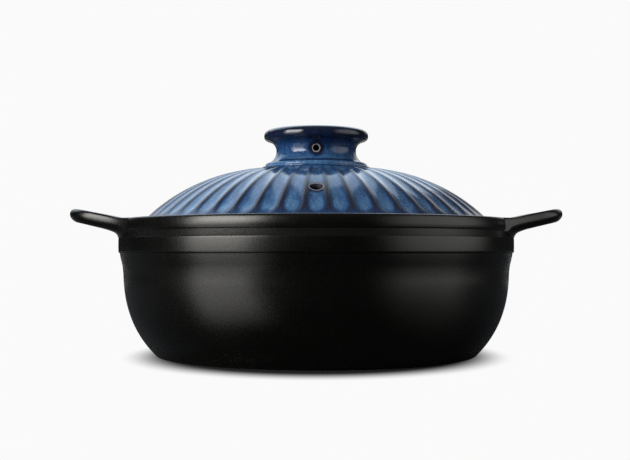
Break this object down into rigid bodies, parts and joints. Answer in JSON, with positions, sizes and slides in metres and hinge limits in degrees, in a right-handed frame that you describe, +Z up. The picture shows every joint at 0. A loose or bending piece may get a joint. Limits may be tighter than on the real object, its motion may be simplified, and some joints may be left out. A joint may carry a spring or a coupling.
{
  "type": "lidded casserole",
  "caption": "Stoneware casserole: matte black pot with a rolled lip and lug handles, under a loose fluted lid in blue glaze with a hollow flared knob and steam vents.",
  "frame": {"origin": "centre of the foot, on the surface the pot stands on", "axes": "+Z up along the axis of the pot and lid, +X towards the right handle, -Y towards the lid's vents, the side that the picture shows"},
  "size_m": [0.295, 0.235, 0.135],
  "materials": {
    "black_glaze": "satin black glaze on stoneware",
    "blue_glaze": "glossy reactive blue glaze, darker where it thins on the ridges",
    "bare_clay": "bare fired clay"
  },
  "bodies": {
    "pot": {"pot_body": "black_glaze", "left_handle": "black_glaze", "right_handle": "black_glaze"},
    "lid_seat": {"lid_rim": "bare_clay"},
    "lid": {"lid_dome": "blue_glaze", "lid_knob": "blue_glaze"}
  },
  "joints": [
    {"name": "lid_lift", "type": "slide", "parent": "pot", "child": "lid_seat", "axis": [0, 0, 1], "range_m": [0, 0.12]},
    {"name": "lid_turn", "type": "hinge", "parent": "lid_seat", "child": "lid", "pos_m": [0, 0, 0.0773], "axis": [0, 0, 1], "continuous": true}
  ]
}
